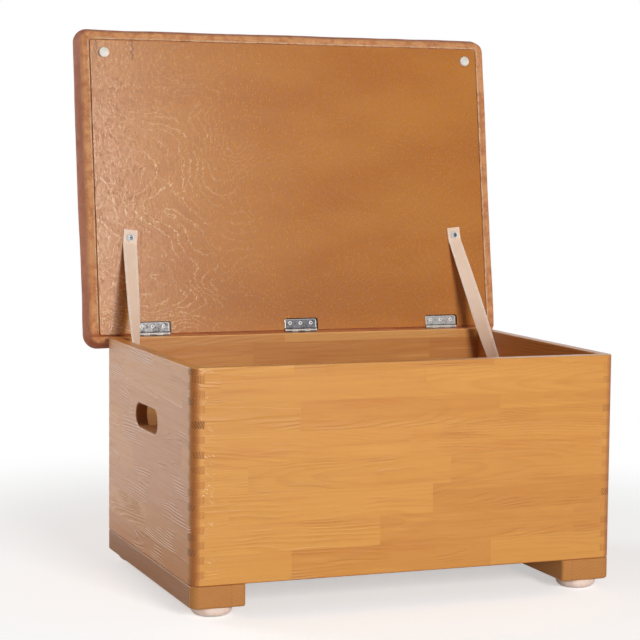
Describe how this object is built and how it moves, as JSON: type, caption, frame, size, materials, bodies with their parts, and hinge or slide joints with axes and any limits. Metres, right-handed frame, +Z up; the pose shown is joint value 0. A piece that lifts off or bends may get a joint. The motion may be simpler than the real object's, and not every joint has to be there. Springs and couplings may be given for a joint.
{
  "type": "vaulting box",
  "caption": "Small finger-jointed wooden vaulting box with hand slots on runners, its padded leather lid hinged at the back and held open by check straps.",
  "frame": {"origin": "on the ground, under the middle of the whole open object", "axes": "+Z up, the front wall faces -Y, +X towards the right wall as seen from the front; the hinges run along X at the back"},
  "size_m": [0.783, 0.6296, 0.9188],
  "materials": {
    "pine": "satin lacquer",
    "runner_pine": "satin lacquer",
    "floor_wood": "satin lacquer",
    "plywood": "stained, satin",
    "board_wood": "raw",
    "cover_leather": "waxed",
    "strap_leather": "raw",
    "foam": "raw",
    "zinc": "zinc plated",
    "glide_plastic": "moulded"
  },
  "bodies": {
    "box": {"front_wall": "pine", "back_wall": "pine", "left_wall": "pine", "right_wall": "pine", "floor_panel": "floor_wood", "left_runner": "runner_pine", "right_runner": "runner_pine", "left_runner_screw_front": "zinc", "left_runner_screw_rear": "zinc", "right_runner_screw_front": "zinc", "right_runner_screw_rear": "zinc", "front_left_glide": "glide_plastic", "rear_left_glide": "glide_plastic", "front_right_glide": "glide_plastic", "rear_right_glide": "glide_plastic", "left_strap": "strap_leather", "right_strap": "strap_leather", "left_strap_wall_screw": "zinc", "left_strap_wall_washer": "zinc", "right_strap_wall_screw": "zinc", "right_strap_wall_washer": "zinc", "left_hinge_box_leaf": "zinc", "middle_hinge_box_leaf": "zinc", "right_hinge_box_leaf": "zinc", "left_hinge_pin": "zinc", "middle_hinge_pin": "zinc", "right_hinge_pin": "zinc", "left_hinge_box_screw_1": "zinc", "left_hinge_box_screw_2": "zinc", "left_hinge_box_screw_3": "zinc", "middle_hinge_box_screw_1": "zinc", "middle_hinge_box_screw_2": "zinc", "middle_hinge_box_screw_3": "zinc", "right_hinge_box_screw_1": "zinc", "right_hinge_box_screw_2": "zinc", "right_hinge_box_screw_3": "zinc"},
    "lid": {"left_hinge_lid_leaf": "zinc", "middle_hinge_lid_leaf": "zinc", "right_hinge_lid_leaf": "zinc", "left_hinge_lid_screw_1": "zinc", "left_hinge_lid_screw_2": "zinc", "left_hinge_lid_screw_3": "zinc", "middle_hinge_lid_screw_1": "zinc", "middle_hinge_lid_screw_2": "zinc", "middle_hinge_lid_screw_3": "zinc", "right_hinge_lid_screw_1": "zinc", "right_hinge_lid_screw_2": "zinc", "right_hinge_lid_screw_3": "zinc", "left_strap_lid_screw": "zinc", "left_strap_lid_washer": "zinc", "right_strap_lid_screw": "zinc", "right_strap_lid_washer": "zinc", "lid_panel": "plywood", "lid_board": "board_wood", "leather_cover": "cover_leather", "foam_pad": "foam", "left_bumper": "glide_plastic", "right_bumper": "glide_plastic"}
  },
  "joints": [
    {"name": "lid_hinge", "type": "hinge", "parent": "box", "child": "lid", "pos_m": [0, 0.18834, 0.38965], "axis": [1, 0, 0], "range_deg": [0, 98], "deforming": ["left_strap", "right_strap"]}
  ]
}
